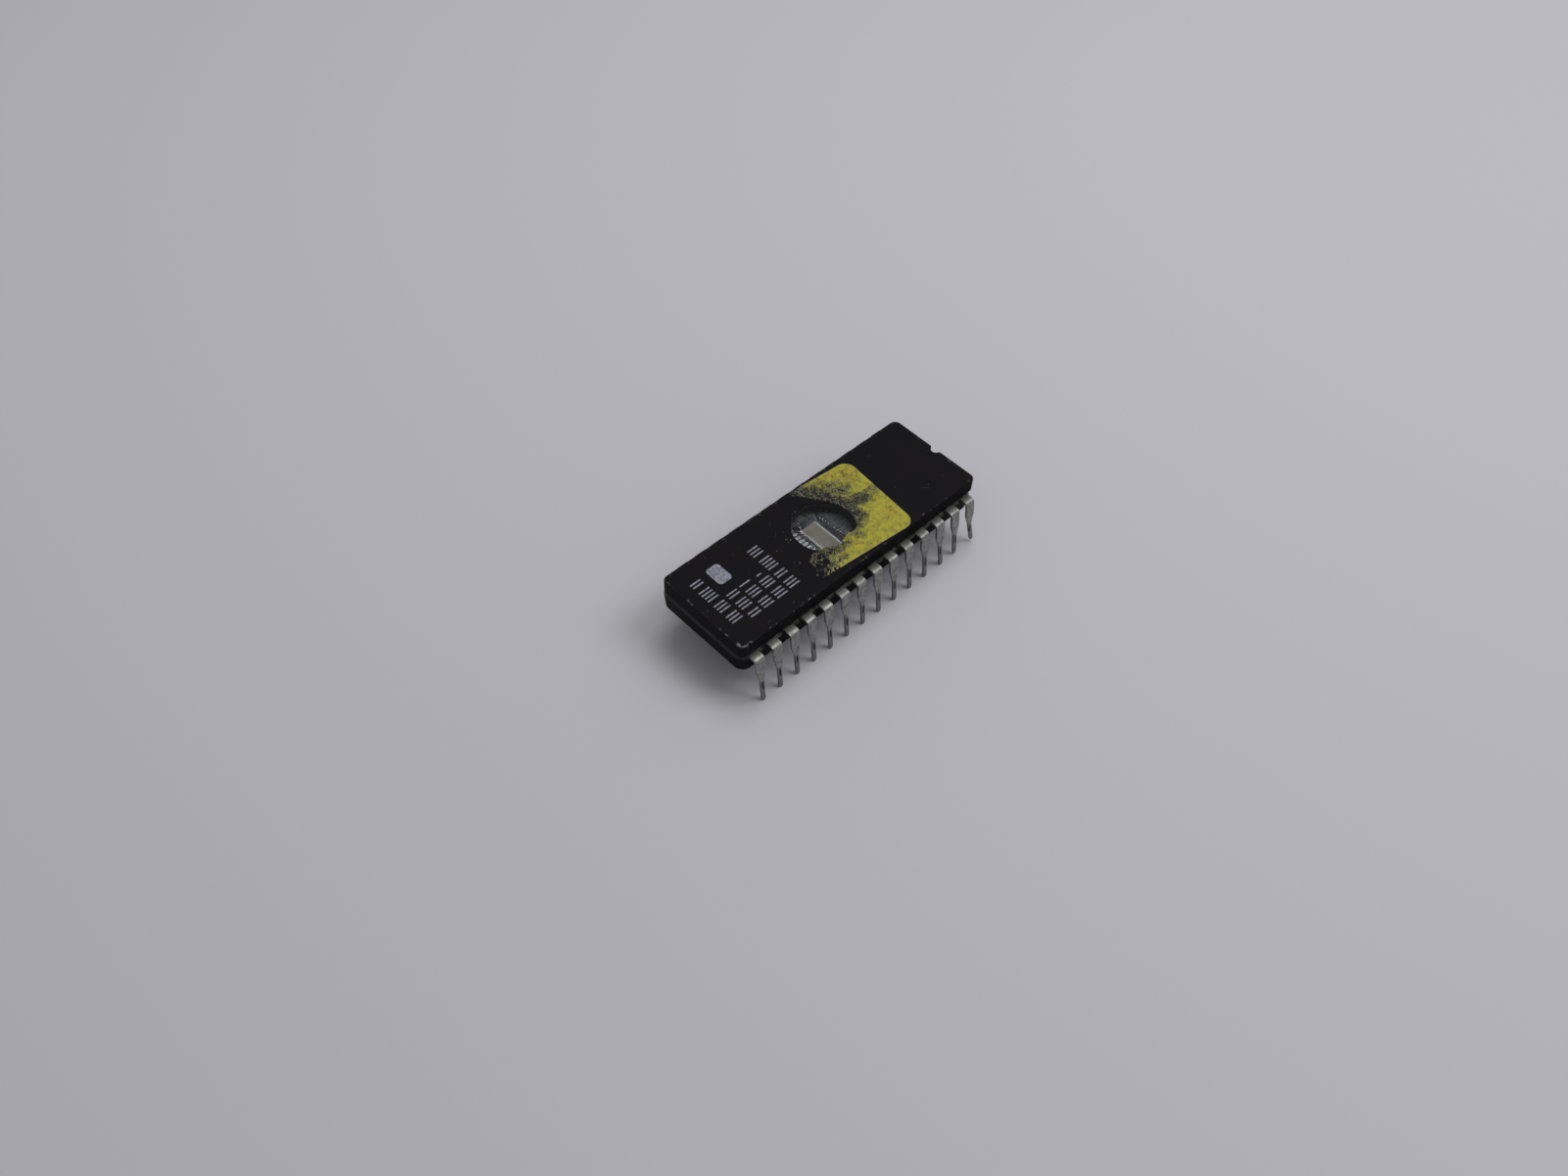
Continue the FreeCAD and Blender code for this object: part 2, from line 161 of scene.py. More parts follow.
# %% [markdown]
# Every finish here is a small net of nodes. Nets can be drawn by hand in the editor, but
# written with a few helpers they are short to read and quick to change. Positions are
# scaled to millimetres, so a pattern's size is one that a loupe could measure.

# %% Helpers for finishes
def shader(name):
    """A new material, with its net of nodes and its surface."""
    material = bpy.data.materials.new(name)
    material.use_nodes = True
    print("finish", name)
    return material, material.node_tree, material.node_tree.nodes["Principled BSDF"]


def plug(value, socket):
    """Sets a socket to a value, or links it where the value is another node's output."""
    if isinstance(value, bpy.types.NodeSocket):
        socket.id_data.links.new(value, socket)
    else:
        socket.default_value = value


def coat(surface, **looks):
    """Sets or links the surface's own sockets."""
    sockets = dict(colour="Base Color", roughness="Roughness", shine="Specular IOR Level",
                   metal="Metallic", clear="Transmission Weight", bend="IOR", bumps="Normal")
    for look, value in looks.items():
        plug(value, surface.inputs[sockets[look]])


def add_node(net, kind, inputs, **settings):
    """The outputs of a new node, with its settings made and its inputs set or linked."""
    made = net.nodes.new("ShaderNode" + kind)
    for setting, value in settings.items():
        setattr(made, setting, value)
    for socket, value in inputs.items():
        plug(value, made.inputs[socket])
    return made.outputs


def calc(net, operation, *values):
    """The result of one sum with numbers or other nodes' outputs."""
    return add_node(net, "Math", dict(enumerate(values)), operation=operation)[0]


def times(net, first, *others):
    """The product of all the values."""
    product = first
    for value in others:
        product = calc(net, "MULTIPLY", product, value)
    return product


def plus(net, first, second):
    return calc(net, "ADD", first, second)


def minus(net, first, second):
    return calc(net, "SUBTRACT", first, second)


def places(net, squeeze=(1, 1, 1), turn=0.0, middle=(0, 0, 0)):
    """Positions from a middle in millimetres, turned about Z and squeezed if asked."""
    source = add_node(net, "TexCoord", {})["Object"]
    scaled = {"Vector": source, "Scale": (1 / MM, 1 / MM, 1 / MM)}
    in_mm = add_node(net, "Mapping", scaled, vector_type="POINT")[0]
    moved = {"Vector": in_mm, "Location": middle, "Rotation": (0, 0, turn), "Scale": squeeze}
    return add_node(net, "Mapping", moved, vector_type="TEXTURE")[0]


def mottle(net, where, size, detail=4.0, roughness=0.5):
    """Cloudy noise from 0 to 1 whose patches are about size millimetres across."""
    cloud = {"Vector": where, "Scale": 1 / size, "Detail": detail, "Roughness": roughness}
    return add_node(net, "TexNoise", cloud)["Fac"]


def rise(net, value, low, high, start=0.0, finish=1.0):
    """Climbs smoothly from start to finish while value goes from low to high."""
    slope = {"Value": value, "From Min": low, "From Max": high, "To Min": start, "To Max": finish}
    return add_node(net, "MapRange", slope, interpolation_type="SMOOTHSTEP")["Result"]


def fall(net, value, low, high):
    """The reverse of rise: one below low, and zero above high."""
    return rise(net, value, low, high, 1.0, 0.0)


def blend(net, share, first, second):
    """Colour that goes from first to second as share goes from 0 to 1."""
    return add_node(net, "Mix", {0: share, 6: first, 7: second}, data_type="RGBA")[2]


def axes(net, where):
    """The separate x, y and z of a position."""
    return add_node(net, "SeparateXYZ", {"Vector": where})


# %% [markdown]
# The chip lies on a plain pale sheet. A curved backdrop would do too, but the camera looks
# down and sees no horizon, so a single large face is enough. The room's light is a little
# paler towards the back, and that is painted into the sheet's colour as a faint gradient.

# %% Floor
FLOOR_SIZE = 1.6
FLOOR_LIT_PALE = (0.462, 0.457, 0.493, 1)
FLOOR_SHADE = (0.424, 0.419, 0.448, 1)
FLOOR_PULL = (0.7, 1.3)
FLOOR_RISE = (-130, 190)
FLOOR_CLOUD = 60.0
FLOOR_CLOUD_PULL = 20.0
FLOOR_ROUGHNESS = 0.7
FLOOR_SHINE = 0.2


def lay_floor():
    mesh = bpy.data.meshes.new("floor")
    half = FLOOR_SIZE / 2
    corners = [(-half, -half, 0), (half, -half, 0), (half, half, 0), (-half, half, 0)]
    mesh.from_pydata(corners, [], [(0, 1, 2, 3)])
    floor = bpy.data.objects.new("floor", mesh)
    bpy.context.scene.collection.objects.link(floor)
    material, net, surface = shader("pale_sheet")
    where = places(net)
    x, y, _ = axes(net, where)
    cloud = mottle(net, where, FLOOR_CLOUD, 2.0)
    along = plus(net, times(net, x, FLOOR_PULL[0]), times(net, y, FLOOR_PULL[1]))
    along = plus(net, along, times(net, cloud, FLOOR_CLOUD_PULL))
    # Painted light: the sheet's colour grows paler towards the back of the room, with soft clouds in it.
    tone = blend(net, rise(net, along, *FLOOR_RISE), FLOOR_SHADE, FLOOR_LIT_PALE)
    coat(surface, colour=tone, roughness=FLOOR_ROUGHNESS, shine=FLOOR_SHINE)
    mesh.materials.append(material)
    return floor


print("floor", round(lay_floor().dimensions.x, 2), "m across")

# %% [markdown]
# Both halves of the body are black alumina, pressed from powder and fired. The powder
# leaves a matt face with a grain of about a tenth of a millimetre. Handling has rubbed the
# lid's edge and one corner of it, and left thin scratches and a few paler strokes. An image
# could carry all this, but noise at the right scale stays sharp at any distance and needs
# no unwrapping. Marks that can be told apart are placed one by one, from a list.

# %% Ceramic
CERAMIC_BLACK = (0.005, 0.0048, 0.0068, 1)
CERAMIC_BROWN = (0.0072, 0.0055, 0.0064, 1)
CERAMIC_SIDE_SHADE = (0.0016, 0.0014, 0.002, 1)
CERAMIC_RUB = (0.036, 0.036, 0.041, 1)
CERAMIC_SCUFF = (0.26, 0.26, 0.27, 1)
CERAMIC_SHINE = 0.04
CERAMIC_GRAIN = 0.11
CERAMIC_RELIEF = 0.012
CAVITY_LIT_GREY = (0.096, 0.1, 0.116, 1)
CAVITY_HALF = (2.2, 3.4)
CAVITY_REACH = 0.9
RIM_HEIGHT = BASE_TOP - 0.03
SCRATCH_TURNS = (math.radians(52), math.radians(38), math.radians(-20))
CORNER_MIDDLE = (-17.31, -5.67)
CORNER_BAND = (0.46, 0.57, 0.64, 0.74)
SCUFF_FROM = (-17.3, -5.65)
STROKES = [
    (12.8, -3.6, -50, 1.6, 0.13), (13.4, -3.5, 20, 0.3, 0.22), (15.7, -3.6, 0, 0.28, 0.2),
    (11.6, 4.1, 60, 0.34, 0.2), (10.3, -1.2, 30, 0.28, 0.18), (-4.15, 4.1, 48, 0.9, 0.12),
    (-4.7, 2.6, 42, 1.1, 0.12), (-5.95, -1.7, 58, 0.9, 0.14), (-3.8, 2.28, 80, 0.36, 0.2),
    (-12.6, 5.3, 70, 0.6, 0.14), (-9.3, 5.6, 50, 0.9, 0.14), (-10.1, 3.6, 0, 0.24, 0.2),
    (-17.3, -0.3, 55, 0.7, 0.12), (-9.75, -5.45, 20, 0.6, 0.16), (-13.4, -5.6, 15, 0.7, 0.14),
]


def relief(net, height, depth):
    """Fine relief, depth millimetres from its lowest to its highest point."""
    return add_node(net, "Bump", {"Height": height, "Distance": depth * MM})["Normal"]


def dress(nodes, material):
    """Gives frame pieces a finish, in their own material slots."""
    for name in nodes:
        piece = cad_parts[name]
        if not piece.material_slots:
            piece.data.materials.append(material)
        for slot in piece.material_slots:
            slot.material = material
    print(material.name, "on", len(nodes), "piece(s)")


def length(net, where):
    """The distance of a position from its middle."""
    return add_node(net, "VectorMath", {0: where}, operation="LENGTH")["Value"]


def swing(net, noise, reach):
    """Noise from 0 to 1, made to swing by half its reach to each side of zero."""
    return times(net, minus(net, noise, 0.5), reach)


def stroke(net, x, y, turn, long, wide):
    """One along a short stroke on the lid's top, and zero past its rim."""
    where = places(net, (long / 2, wide / 2, 100), math.radians(turn), (x, y, LID_TOP))
    return fall(net, length(net, where), 0.4, 1.0)


def scratches(net, turn, seed_shift):
    """Thin lines in one direction, in loose groups."""
    where = places(net, squeeze=(2.4, 0.075, 2.4), turn=turn)
    shift = (seed_shift, seed_shift * 3.7, 0)
    shifted = add_node(net, "VectorMath", {0: where, 1: shift}, operation="ADD")[0]
    line = rise(net, mottle(net, shifted, 1.0, 1.0), 0.735, 0.8)
    group = rise(net, mottle(net, places(net), 3.1 + seed_shift * 0.2, 2.0), 0.5, 0.62)
    return times(net, line, group)


def past_edge(net, position, low, high):
    """How far a coordinate is outside the lid's span, negative inside it."""
    off_middle = calc(net, "ABSOLUTE", minus(net, position, (low + high) / 2))
    return minus(net, off_middle, (high - low) / 2)


def lid_edge(net, where):
    """The band just inside the lid's upper edge, from 0 to 1."""
    x, y, z = axes(net, where)
    past_x = past_edge(net, x, LID_LOW.x, LID_HIGH.x)
    past_y = past_edge(net, y, LID_LOW.y, LID_HIGH.y)
    past = calc(net, "MAXIMUM", past_x, past_y)
    band = times(net, rise(net, past, -0.42, -0.24), fall(net, past, -0.14, -0.04))
    return times(net, band, rise(net, z, LID_TOP - 0.06, LID_TOP - 0.02))


def corner_scuff(net, where):
    """The rubbed corner of the lid, a ragged arc that follows the rounding."""
    x, y, z = axes(net, where)
    away_x = minus(net, x, CORNER_MIDDLE[0])
    away_y = minus(net, y, CORNER_MIDDLE[1])
    away = calc(net, "SQRT", plus(net, times(net, away_x, away_x), times(net, away_y, away_y)))
    ragged = plus(net, away, swing(net, mottle(net, where, 0.4, 3.0), 0.8))
    inner, full, fading, outer = CORNER_BAND
    scuff = times(net, rise(net, ragged, inner, full), rise(net, away, fading, outer, 1.0, 0.1))
    for position, start in zip((x, y), SCUFF_FROM):
        scuff = times(net, scuff, fall(net, position, start, start + 0.4))
    return times(net, scuff, rise(net, z, LID_TOP - 0.35, LID_TOP - 0.1))


def die_cavity(net, where):
    """One on the walls and floor of the cavity that the die lies in."""
    x, y, z = axes(net, where)
    share_x = calc(net, "DIVIDE", calc(net, "ABSOLUTE", x), CAVITY_HALF[0])
    share_y = calc(net, "DIVIDE", calc(net, "ABSOLUTE", y), CAVITY_HALF[1])
    within = fall(net, calc(net, "MAXIMUM", share_x, share_y), 1.0, 1.02)
    floor = BASE_TOP - CAVITY_REACH
    return times(net, within, fall(net, z, BASE_TOP, BASE_TOP + 0.1), rise(net, z, floor, floor + 0.1))


def ceramic_finish():
    material, net, surface = shader("black_ceramic")
    where = places(net)
    grain = mottle(net, where, CERAMIC_GRAIN, 5.0, 0.6)
    patch = mottle(net, where, 4.5, 3.0)
    tone = blend(net, rise(net, patch, 0.42, 0.66), CERAMIC_BLACK, CERAMIC_BROWN)
    tone = blend(net, rise(net, grain, 0.45, 0.8, 0.0, 0.18), tone, CERAMIC_RUB)
    marks = scratches(net, SCRATCH_TURNS[0], 0.0)
    for index, turn in enumerate(SCRATCH_TURNS[1:], 1):
        marks = calc(net, "MAXIMUM", marks, scratches(net, turn, index * 2.3))
    for settings in STROKES:
        marks = calc(net, "MAXIMUM", marks, stroke(net, *settings))
    tone = blend(net, times(net, marks, 0.65), tone, CERAMIC_RUB)
    x, y, z = axes(net, where)
    # Painted shade: the long sides, past the lid's edge and away from the plain end, are painted nearly
    # black, as between and above the leads. A paler line runs along the base's upper edge there.
    beyond = rise(net, past_edge(net, y, LID_LOW.y, LID_HIGH.y), -0.1, 0.0)
    shaded_long_side = times(net, beyond, rise(net, x, LID_LOW.x + 0.6, LID_LOW.x + 1.6))
    tone = blend(net, shaded_long_side, tone, CERAMIC_SIDE_SHADE)
    off_rim = calc(net, "ABSOLUTE", minus(net, z, RIM_HEIGHT))
    rim = times(net, rise(net, off_rim, 0.03, 0.09, 0.35, 0.0), shaded_long_side)
    tone = blend(net, rim, tone, CERAMIC_RUB)
    # Painted light: the die's cavity is painted paler towards its far (+X) side, where light reaches into
    # it.
    cavity_light_tone = blend(net, rise(net, x, -0.8, 0.8), CERAMIC_BLACK, CAVITY_LIT_GREY)
    tone = blend(net, die_cavity(net, where), tone, cavity_light_tone)
    chips = rise(net, mottle(net, where, 0.55, 5.0, 0.65), 0.55, 0.68, 0.0, 0.4)
    tone = blend(net, times(net, lid_edge(net, where), chips), tone, CERAMIC_SCUFF)
    tone = blend(net, times(net, corner_scuff(net, where), 0.5), tone, CERAMIC_SCUFF)
    bumps = relief(net, minus(net, grain, times(net, marks, 0.6)), CERAMIC_RELIEF)
    roughness = rise(net, patch, 0.3, 0.7, 0.5, 0.62)
    coat(surface, colour=tone, roughness=roughness, shine=CERAMIC_SHINE, bumps=bumps)
    return material


dress(["ceramic_base", "ceramic_lid"], ceramic_finish())

# %% [markdown]
# The two halves are joined by a lead glass that melts far below the ceramic. In the groove
# round the body it is nearly black and glossier than the ceramic. On the near side only it
# has a paler brown ledge between the leads, a painted sheen where light catches the glass.
# On the floor of the window recess it is painted a paler blue-grey, a painted light for what
# comes through the window, and painted shade darkens it towards the far side. Two materials
# would need a cut where they meet. The net asks for the position instead, and the glass
# stays one piece.

# %% Seal glass
FRIT_DARK = (0.006, 0.006, 0.007, 1)
FRIT_LIT_LEDGE = (0.05, 0.046, 0.038, 1)
FRIT_FLOOR_LIT = (0.088, 0.092, 0.108, 1)
RECESS_HALF = 4.4
RECESS_SHADE = (4.2, 5.2)
NEAR_SIDE = -6.2
FRIT_SHINE = 0.3
FRIT_RELIEF = 0.05


def inside_recess(net, where):
    """One over the window recess and zero outside it."""
    x, y, _ = axes(net, where)
    reach = calc(net, "MAXIMUM", calc(net, "ABSOLUTE", x), calc(net, "ABSOLUTE", y))
    return fall(net, reach, RECESS_HALF, RECESS_HALF + 0.1)


def recess_shade(net, where):
    """The dull, unlit side of the recess, towards its far corner."""
    x, y, _ = axes(net, where)
    return rise(net, plus(net, x, y), *RECESS_SHADE)


def frit_finish():
    material, net, surface = shader("seal_frit")
    where = places(net)
    flow = mottle(net, where, 0.7, 4.0)
    bubble = mottle(net, where, 0.09, 2.0)
    _, y, _ = axes(net, where)
    # Painted light: a paler brown ledge on the near side only, a sheen where light catches the glass.
    lit_ledge = times(net, fall(net, y, NEAR_SIDE - 0.1, NEAR_SIDE), rise(net, flow, 0.4, 0.6))
    tone = blend(net, lit_ledge, FRIT_DARK, FRIT_LIT_LEDGE)
    inside = inside_recess(net, where)
    # Painted light: in the window recess the glass is painted paler, for the light that comes through the
    # window. The painted shade of recess_shade darkens its far side.
    tone = blend(net, inside, tone, FRIT_FLOOR_LIT)
    tone = blend(net, times(net, inside, recess_shade(net, where)), tone, FRIT_DARK)
    roughness = rise(net, flow, 0.3, 0.7, 0.2, 0.34)
    shine = times(net, FRIT_SHINE, minus(net, 1.0, times(net, inside, 0.85)))
    height = plus(net, flow, times(net, bubble, 0.3))
    height = times(net, height, minus(net, 1.0, times(net, inside, 0.96)))
    bumps = relief(net, height, FRIT_RELIEF)
    coat(surface, colour=tone, roughness=roughness, shine=shine, bumps=bumps)
    return material


seal_frit = frit_finish()
dress(["seal_glass"], seal_frit)

# %% [markdown]
# The leads are one stamped sheet, tinned after the body was sealed. Tin has a satin
# lustre with cloudy patches and fine drag lines from the bending tool. The legs have been
# in sockets, so they are darker, with a black rub mark below each neck. The flat tops of
# the shoulders are painted darker, a painted shade. Inside the window the sheet is clad
# with aluminium and smoother: a bright mirror on the near side, while painted shade makes
# it a dull, less metallic grey on the far one. Each lead could have two materials, but its
# mesh has no edge where they would meet, so the position decides here too.

# %% Tinned leads
TIN_PALE = (0.3, 0.298, 0.287, 1)
TIN_DULL = (0.145, 0.144, 0.134, 1)
TIN_DIRT = (0.01, 0.01, 0.01, 1)
TIN_LEG = (0.165, 0.162, 0.17, 1)
ALUMINIUM_CLAD = (0.47, 0.475, 0.49, 1)
ALUMINIUM_FAR_SHADE = (0.084, 0.088, 0.102, 1)
ALUMINIUM_SHADE = (0.014, 0.015, 0.02, 1)
ALUMINIUM_ROUGHNESS = 0.2
FAR_METAL = 0.15
FAR_NORTH = 1.8
TIN_SHOULDER_SHADE = (0.095, 0.096, 0.088, 1)
TIN_METAL = 0.86
TIN_SATIN = (0.34, 0.48)
TIN_RELIEF = 0.03
LEG_TOP = 3.1
PITCH = 2.54
SPOT_HEIGHT = 2.3
SPOT_TALL = 0.62
SPOT_WIDE = 0.13


def rub_mark(net, where, grime):
    """The black mark in the middle of each leg, below its neck."""
    x, _, z = axes(net, where)
    aside = minus(net, PITCH / 2, calc(net, "PINGPONG", x, PITCH / 2))
    above = calc(net, "ABSOLUTE", minus(net, z, SPOT_HEIGHT))
    off_x = calc(net, "POWER", calc(net, "DIVIDE", aside, SPOT_WIDE), 2.0)
    off_z = calc(net, "POWER", calc(net, "DIVIDE", above, SPOT_TALL), 2.0)
    away = plus(net, plus(net, off_x, off_z), swing(net, grime, 2.0))
    return fall(net, away, 0.8, 1.3)


def tin_finish():
    material, net, surface = shader("tinned_sheet")
    where = places(net)
    x, y, z = axes(net, where)
    cloud = mottle(net, where, 0.45, 5.0, 0.62)
    drag = mottle(net, places(net, squeeze=(0.06, 0.06, 0.9)), 1.0, 3.0)
    grime = mottle(net, where, 0.16, 4.0)
    dull = times(net, rise(net, cloud, 0.4, 0.66), 0.8)
    tone = blend(net, dull, TIN_PALE, TIN_DULL)
    tone = blend(net, rise(net, drag, 0.55, 0.72, 0.0, 0.4), tone, TIN_DULL)
    tone = blend(net, rise(net, z, LEG_TOP - 0.5, LEG_TOP + 0.2, 0.75, 0.0), tone, TIN_LEG)
    # Painted shade: the flat tops of the shoulders are painted darker.
    shoulder_shade = rise(net, z, SHEET_TOP - 0.12, SHEET_TOP - 0.02, 0.0, 0.55)
    tone = blend(net, shoulder_shade, tone, TIN_SHOULDER_SHADE)
    specks = rise(net, grime, 0.66, 0.72, 0.0, 0.6)
    tone = blend(net, calc(net, "MAXIMUM", rub_mark(net, where, grime), specks), tone, TIN_DIRT)
    clad = inside_recess(net, where)
    tinned = minus(net, 1.0, clad)
    # Painted shade: fingers on the far side are painted a duller, darker grey and made less metallic.
    far_shade = rise(net, calc(net, "MAXIMUM", x, minus(net, y, FAR_NORTH)), 0.3, 1.5)
    bare = blend(net, far_shade, ALUMINIUM_CLAD, ALUMINIUM_FAR_SHADE)
    bare = blend(net, recess_shade(net, where), bare, ALUMINIUM_SHADE)
    tone = blend(net, clad, tone, bare)
    clad_metal = times(net, clad, rise(net, far_shade, 0.0, 1.0, 1.0, FAR_METAL))
    metal = plus(net, times(net, tinned, TIN_METAL), clad_metal)
    satin = times(net, tinned, rise(net, cloud, 0.3, 0.7, *TIN_SATIN))
    roughness = plus(net, satin, times(net, clad, ALUMINIUM_ROUGHNESS))
    height = plus(net, times(net, cloud, 0.6), times(net, drag, 0.4))
    height = times(net, height, plus(net, times(net, tinned, 0.95), 0.05))
    bumps = relief(net, height, TIN_RELIEF)
    coat(surface, colour=tone, metal=metal, roughness=roughness, bumps=bumps)
    return material


dress([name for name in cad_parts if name.startswith("lead_")], tin_finish())

# %% [markdown]
# The die is a slip of silicon. Its face is a field of memory cells too fine to see one
# by one, which reads as an even sheen, inside a paler border with a row of bond pads along
# each long side. Pads and border are too thin to need geometry of their own. Distances from
# the die's middle draw the border, and a wave along Y breaks it into pads. The die lies in
# a bed of glass paste filled with silver flakes, which a fine noise makes grainy.

# %% Die and its bed
DIE_FIELD = (0.185, 0.172, 0.118, 1)
DIE_FIELD_SHADE = (0.13, 0.121, 0.088, 1)
DIE_BORDER = (0.3, 0.295, 0.27, 1)
DIE_STREET = (0.06, 0.058, 0.052, 1)
DIE_PAD = (0.7, 0.7, 0.68, 1)
DOT_PITCH = 0.15
PAD_ROW = 1.07
PAD_HALF = 0.075
PAD_PITCH = 0.3
FIELD_HALF_X = 0.9
FIELD_HALF_Y = 2.02
SHARP = 0.01
DIE_ROUGHNESS = 0.3
PASTE_SHADE = (0.16, 0.16, 0.155, 1)
PASTE_PALE = (0.36, 0.36, 0.35, 1)
PASTE_ROUGHNESS = 0.55
PASTE_METAL = 0.4
PASTE_RELIEF = 0.01


def die_finish():
    material, net, surface = shader("silicon_die")
    where = places(net)
    x, y, _ = axes(net, where)
    far_x = calc(net, "ABSOLUTE", x)
    far_y = calc(net, "ABSOLUTE", y)
    outside_x = rise(net, far_x, FIELD_HALF_X - SHARP, FIELD_HALF_X + SHARP)
    outside_y = rise(net, far_y, FIELD_HALF_Y - SHARP, FIELD_HALF_Y + SHARP)
    border = calc(net, "MAXIMUM", outside_x, outside_y)
    cloud = mottle(net, where, 1.6, 2.0)
    tone = blend(net, rise(net, cloud, 0.35, 0.65), DIE_FIELD, DIE_FIELD_SHADE)
    blocks = calc(net, "PINGPONG", plus(net, y, 0.1), 0.5)
    street = rise(net, blocks, 0.0, 0.03, 0.35, 0.0)
    tone = blend(net, street, tone, DIE_BORDER)
    gap_x = rise(net, calc(net, "PINGPONG", x, DOT_PITCH / 2), 0.015, 0.03)
    gap_y = rise(net, calc(net, "PINGPONG", y, DOT_PITCH / 2), 0.015, 0.03)
    dots = blend(net, times(net, gap_x, gap_y), DIE_STREET, DIE_BORDER)
    tone = blend(net, border, tone, dots)
    off_row = calc(net, "ABSOLUTE", minus(net, far_x, PAD_ROW))
    off_pad = minus(net, PAD_PITCH / 2, calc(net, "PINGPONG", y, PAD_PITCH / 2))
    in_row = fall(net, off_row, PAD_HALF, PAD_HALF + SHARP)
    pad = times(net, in_row, fall(net, off_pad, PAD_HALF, PAD_HALF + SHARP))
    tone = blend(net, pad, tone, DIE_PAD)
    bumps = relief(net, mottle(net, where, 0.03, 1.0), 0.002)
    coat(surface, colour=tone, metal=pad, roughness=DIE_ROUGHNESS, bumps=bumps)
    return material


def paste_finish():
    material, net, surface = shader("silver_paste")
    flakes = mottle(net, places(net), 0.05, 3.0)
    tone = blend(net, rise(net, flakes, 0.35, 0.65), PASTE_SHADE, PASTE_PALE)
    bumps = relief(net, flakes, PASTE_RELIEF)
    coat(surface, colour=tone, metal=PASTE_METAL, roughness=PASTE_ROUGHNESS, bumps=bumps)
    return material


dress(["die"], die_finish())
dress(["die_attach"], paste_finish())

# %% [markdown]
# Each pad is joined to its finger by a wire a few hundredths of a millimetre thick,
# pressed flat at both ends by a wedge and looped between. The construction model has
# them with few sides. Here a round section is swept along the same route with more steps,
# because the glint of each loop is what the eye catches through the window.

# %% Wire loops
LEADS_PER_SIDE = 14
COLUMNS = LEADS_PER_SIDE // 2
SIDE_FINGERS = 5
FINGER_TIP = (1.92, 3.17)
FINGER_PITCH = 0.56
END_FINGER_FIRST = 0.72
END_FINGER_PITCH = 0.66
FINGER_BOND_INSET = 0.22
WIRE_BRIGHT = (0.8, 0.81, 0.83, 1)
WIRE_STREAK = (0.6, 0.61, 0.63, 1)
WIRE_ROUGHNESS = 0.22
WIRE_DIAMETER = 0.032
WIRE_RISE = 0.22
WIRE_FULLNESS = 0.92
FOOT_LENGTH = 0.1
FOOT_WIDTH = 0.055
FOOT_THICKNESS = 0.02
WIRE_STEPS = 14
WIRE_SIDES = 8


def new_piece(name, points, faces, material, smooth=True):
    """Makes a mesh piece from points in millimetres."""
    mesh = bpy.data.meshes.new(name)
    mesh.from_pydata([tuple(value * MM for value in point) for point in points], [], faces)
    mesh.materials.append(material)
    mesh.validate()
    if smooth:
        mesh.polygons.foreach_set("use_smooth", [True] * len(mesh.polygons))
    piece = bpy.data.objects.new(name, mesh)
    bpy.context.scene.collection.objects.link(piece)
    return piece


def bond_ends(column):
    """Pad on the die and bond on the finger, in the quarter where x and y are positive."""
    pad = Vector((PAD_ROW, PAD_PITCH * (column + 0.5), DIE_TOP))
    if column < SIDE_FINGERS:
        return pad, Vector((FINGER_TIP[0] + FINGER_BOND_INSET, FINGER_PITCH * (column + 0.5), SHEET_TOP))
    x = END_FINGER_FIRST + END_FINGER_PITCH * (COLUMNS - 1 - column)
    return pad, Vector((x, FINGER_TIP[1] + FINGER_BOND_INSET, SHEET_TOP))


def wire_route(pad, bond):
    """Stations (centre, width, height) from foot to foot."""
    along = Vector((bond.x - pad.x, bond.y - pad.y, 0)).normalized()
    lift = Vector((0, 0, FOOT_THICKNESS / 2))
    heel = pad - along * FOOT_LENGTH / 2 + lift
    start = pad + along * FOOT_LENGTH / 2 + lift
    finish = bond - along * FOOT_LENGTH / 2 + lift
    toe = bond + along * FOOT_LENGTH / 2 + lift
    stations = [(centre, FOOT_WIDTH, FOOT_THICKNESS) for centre in (heel, start)]
    for step in range(1, WIRE_STEPS):
        share = step / WIRE_STEPS
        arch = 4 * share * (1 - share)
        centre = start.lerp(finish, share)
        centre.z += arch * (WIRE_RISE + (finish.z - start.z) / 2) * WIRE_FULLNESS
        stations.append((centre, WIRE_DIAMETER, WIRE_DIAMETER))
    return stations + [(centre, FOOT_WIDTH, FOOT_THICKNESS) for centre in (finish, toe)]


def sweep(stations, points, faces, sides):
    """Adds a closed tube through stations to lists of points and faces."""
    first = len(points)
    for index, (centre, width, height) in enumerate(stations):
        before = stations[max(index - 1, 0)][0]
        after = stations[min(index + 1, len(stations) - 1)][0]
        ahead = (after - before).normalized()
        across = Vector((-ahead.y, ahead.x, 0)).normalized()
        upward = ahead.cross(across)
        for side in range(sides):
            turn = 2 * math.pi * (side + 0.5) / sides
            aside = across * (width / 2 * math.cos(turn))
            points.append(centre + aside + upward * (height / 2 * math.sin(turn)))
    for ring in range(len(stations) - 1):
        for side in range(sides):
            a = first + ring * sides + side
            b = first + ring * sides + (side + 1) % sides
            faces.append((a, b, b + sides, a + sides))
    last = first + (len(stations) - 1) * sides
    faces.append(tuple(first + side for side in reversed(range(sides))))
    faces.append(tuple(last + side for side in range(sides)))


def wire_finish():
    material, net, surface = shader("bond_wire_aluminium")
    streak = mottle(net, places(net), 0.05, 2.0)
    tone = blend(net, rise(net, streak, 0.3, 0.7), WIRE_BRIGHT, WIRE_STREAK)
    coat(surface, colour=tone, metal=1.0, roughness=WIRE_ROUGHNESS)
    return material


